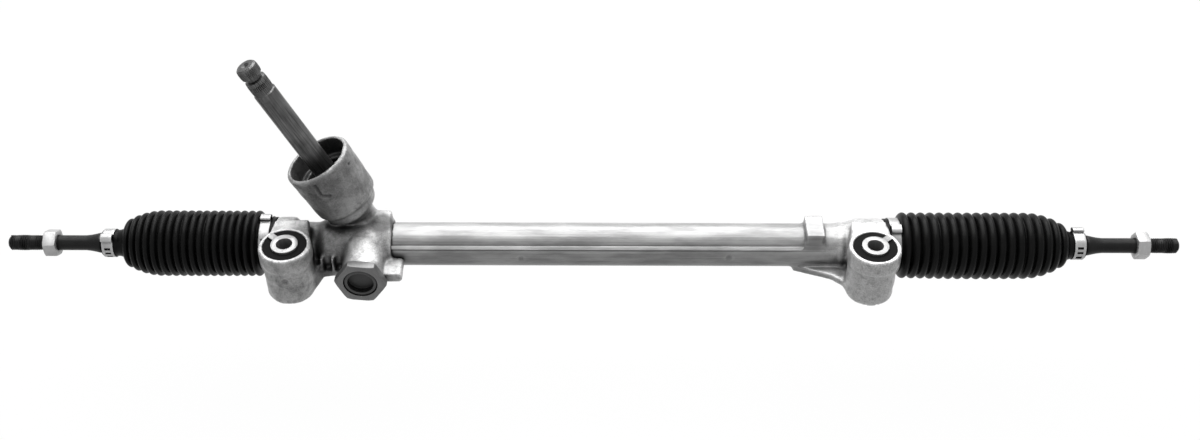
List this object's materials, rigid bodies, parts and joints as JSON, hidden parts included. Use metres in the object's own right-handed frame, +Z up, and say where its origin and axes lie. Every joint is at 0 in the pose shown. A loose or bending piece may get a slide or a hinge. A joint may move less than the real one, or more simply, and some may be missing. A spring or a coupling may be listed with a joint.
{
  "type": "steering rack",
  "caption": "Rack-and-pinion steering gear: cast tube with two bushed mounts, tilted pinion shaft in a cup, adjuster, ribbed bellows and threaded tie rods.",
  "frame": {"origin": "centre of the left mounting sleeve's bolt hole at its mid-height", "axes": "+X along the rack to the right mount, +Z up along the mounting bolts, +Y from the bolts to the rack"},
  "size_m": [1.057, 0.1077, 0.2273],
  "materials": {
    "cast_aluminium": "as cast, fine grain",
    "tube_aluminium": "as cast, bright",
    "ground_steel": "ground",
    "dark_steel": "phosphated, oiled",
    "zinc_steel": "zinc plated",
    "yoke_plug_metal": "turned",
    "black_rod": "black, satin",
    "black_rubber": "matt",
    "bellows_rubber": "soft sheen",
    "white_plastic": "moulded"
  },
  "bodies": {
    "housing": {"gear_housing": "cast_aluminium", "tube_housing": "tube_aluminium", "rack_bush": "white_plastic", "bush_o_rings": "black_rubber", "bearing_outer_ring": "ground_steel", "bearing_snap_ring": "dark_steel", "pinion_seal": "black_rubber", "needle_bearing": "ground_steel", "foot_cap": "zinc_steel", "yoke": "cast_aluminium", "yoke_liner": "white_plastic", "yoke_o_ring": "black_rubber", "yoke_spring": "dark_steel", "yoke_plug": "yoke_plug_metal", "yoke_lock_nut": "zinc_steel", "bush_rubber_left": "black_rubber", "bush_sleeve_left": "zinc_steel", "bellows_left": "bellows_rubber", "large_clamp_left": "zinc_steel", "bush_rubber_right": "black_rubber", "bush_sleeve_right": "zinc_steel", "bellows_right": "bellows_rubber", "large_clamp_right": "zinc_steel"},
    "rack": {"rack_bar": "ground_steel", "ball_socket_left": "dark_steel", "ball_seat_left": "white_plastic", "lock_washer_left": "ground_steel", "ball_socket_right": "dark_steel", "ball_seat_right": "white_plastic", "lock_washer_right": "ground_steel"},
    "pinion": {"pinion_shaft": "dark_steel", "bearing_inner_ring": "ground_steel", "bearing_balls": "ground_steel"},
    "tie_rod_left": {"tie_rod_left": "black_rod", "small_clamp_left": "zinc_steel"},
    "lock_nut_left": {"lock_nut_left": "zinc_steel"},
    "tie_rod_right": {"tie_rod_right": "black_rod", "small_clamp_right": "zinc_steel"},
    "lock_nut_right": {"lock_nut_right": "zinc_steel"}
  },
  "joints": [
    {"name": "rack_slide", "type": "slide", "parent": "housing", "child": "rack", "axis": [1, 0, 0], "range_m": [-0.084, 0.06], "deforming": ["bellows_left", "bellows_right"]},
    {"name": "pinion_turn", "type": "hinge", "parent": "housing", "child": "pinion", "pos_m": [0.0665, 0.05422, -0.0069], "axis": [-0.4226, 0, 0.9063], "range_deg": [-690, 494]},
    {"name": "tie_rod_left_swing", "type": "hinge", "parent": "rack", "child": "tie_rod_left", "pos_m": [-0.0815, 0.039, -0.0069], "axis": [0, 1, 0], "range_deg": [-20, 20]},
    {"name": "tie_rod_right_swing", "type": "hinge", "parent": "rack", "child": "tie_rod_right", "pos_m": [0.6195, 0.039, -0.0069], "axis": [0, 1, 0], "range_deg": [-20, 20]},
    {"name": "lock_nut_left_turn", "type": "hinge", "parent": "tie_rod_left", "child": "lock_nut_left", "pos_m": [-0.221, 0.039, -0.0069], "axis": [1, 0, 0], "range_deg": [-180, 180]},
    {"name": "lock_nut_right_turn", "type": "hinge", "parent": "tie_rod_right", "child": "lock_nut_right", "pos_m": [0.764, 0.039, -0.0069], "axis": [1, 0, 0], "range_deg": [-180, 180]}
  ],
  "couplings": [
    {"joint": "pinion_turn", "follows": "rack_slide", "rad_per_m": 142.86}
  ]
}
